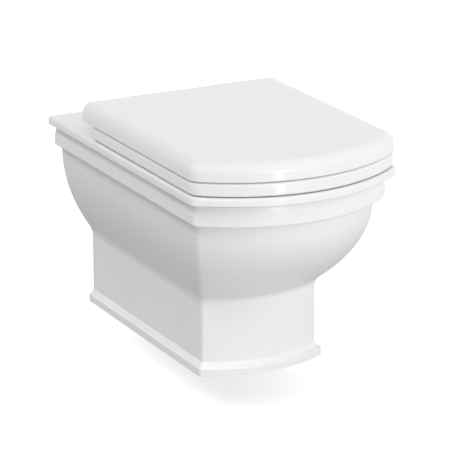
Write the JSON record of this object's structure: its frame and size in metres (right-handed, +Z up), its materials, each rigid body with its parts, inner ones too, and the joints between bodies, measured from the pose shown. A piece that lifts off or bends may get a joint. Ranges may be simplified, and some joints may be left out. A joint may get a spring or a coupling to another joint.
{
  "type": "wall hung toilet",
  "caption": "Square wall hung toilet pan with a bowed front, moulded rim, curved belly and plinth, with a hinged soft close seat ring and lid.",
  "frame": {"origin": "on the wall plane, midway between the two wall fixing holes", "axes": "+X to the right seen from the front, +Y towards the wall, +Z up"},
  "size_m": [0.356, 0.575, 0.3858],
  "materials": {
    "ceramic": "white gloss glaze",
    "seat": "white gloss",
    "hinge": "white enamel",
    "rubber": "matt black",
    "buffer": "matt white",
    "steel": "plain",
    "nylon": "natural"
  },
  "bodies": {
    "pan": {"pan_shell": "ceramic", "pan_bowl": "ceramic", "pan_trap": "ceramic", "hinge_post_left": "hinge", "hinge_post_right": "hinge", "hinge_gaskets": "buffer", "hinge_studs": "steel", "hinge_cones": "rubber", "hinge_washers": "steel", "hinge_wing_nuts": "nylon", "lid_damper_shaft": "steel", "lid_pivot_pin": "steel", "seat_damper_shaft": "steel", "seat_pivot_pin": "steel", "fixing_sleeves": "nylon", "fixing_washers": "steel", "fixing_nuts": "steel", "inlet_seal": "rubber"},
    "seat": {"seat_ring": "seat", "seat_buffers": "buffer", "seat_damper": "nylon", "seat_pivot_bush": "nylon"},
    "lid": {"lid": "seat", "lid_buffers": "buffer", "lid_damper": "nylon", "lid_pivot_bush": "nylon"}
  },
  "joints": [
    {"name": "seat_hinge", "type": "hinge", "parent": "pan", "child": "seat", "pos_m": [0, -0.133, 0.1188], "axis": [-1, 0, 0], "range_deg": [0, 93]},
    {"name": "lid_hinge", "type": "hinge", "parent": "seat", "child": "lid", "pos_m": [0, -0.133, 0.1188], "axis": [-1, 0, 0], "range_deg": [0, 95]}
  ]
}
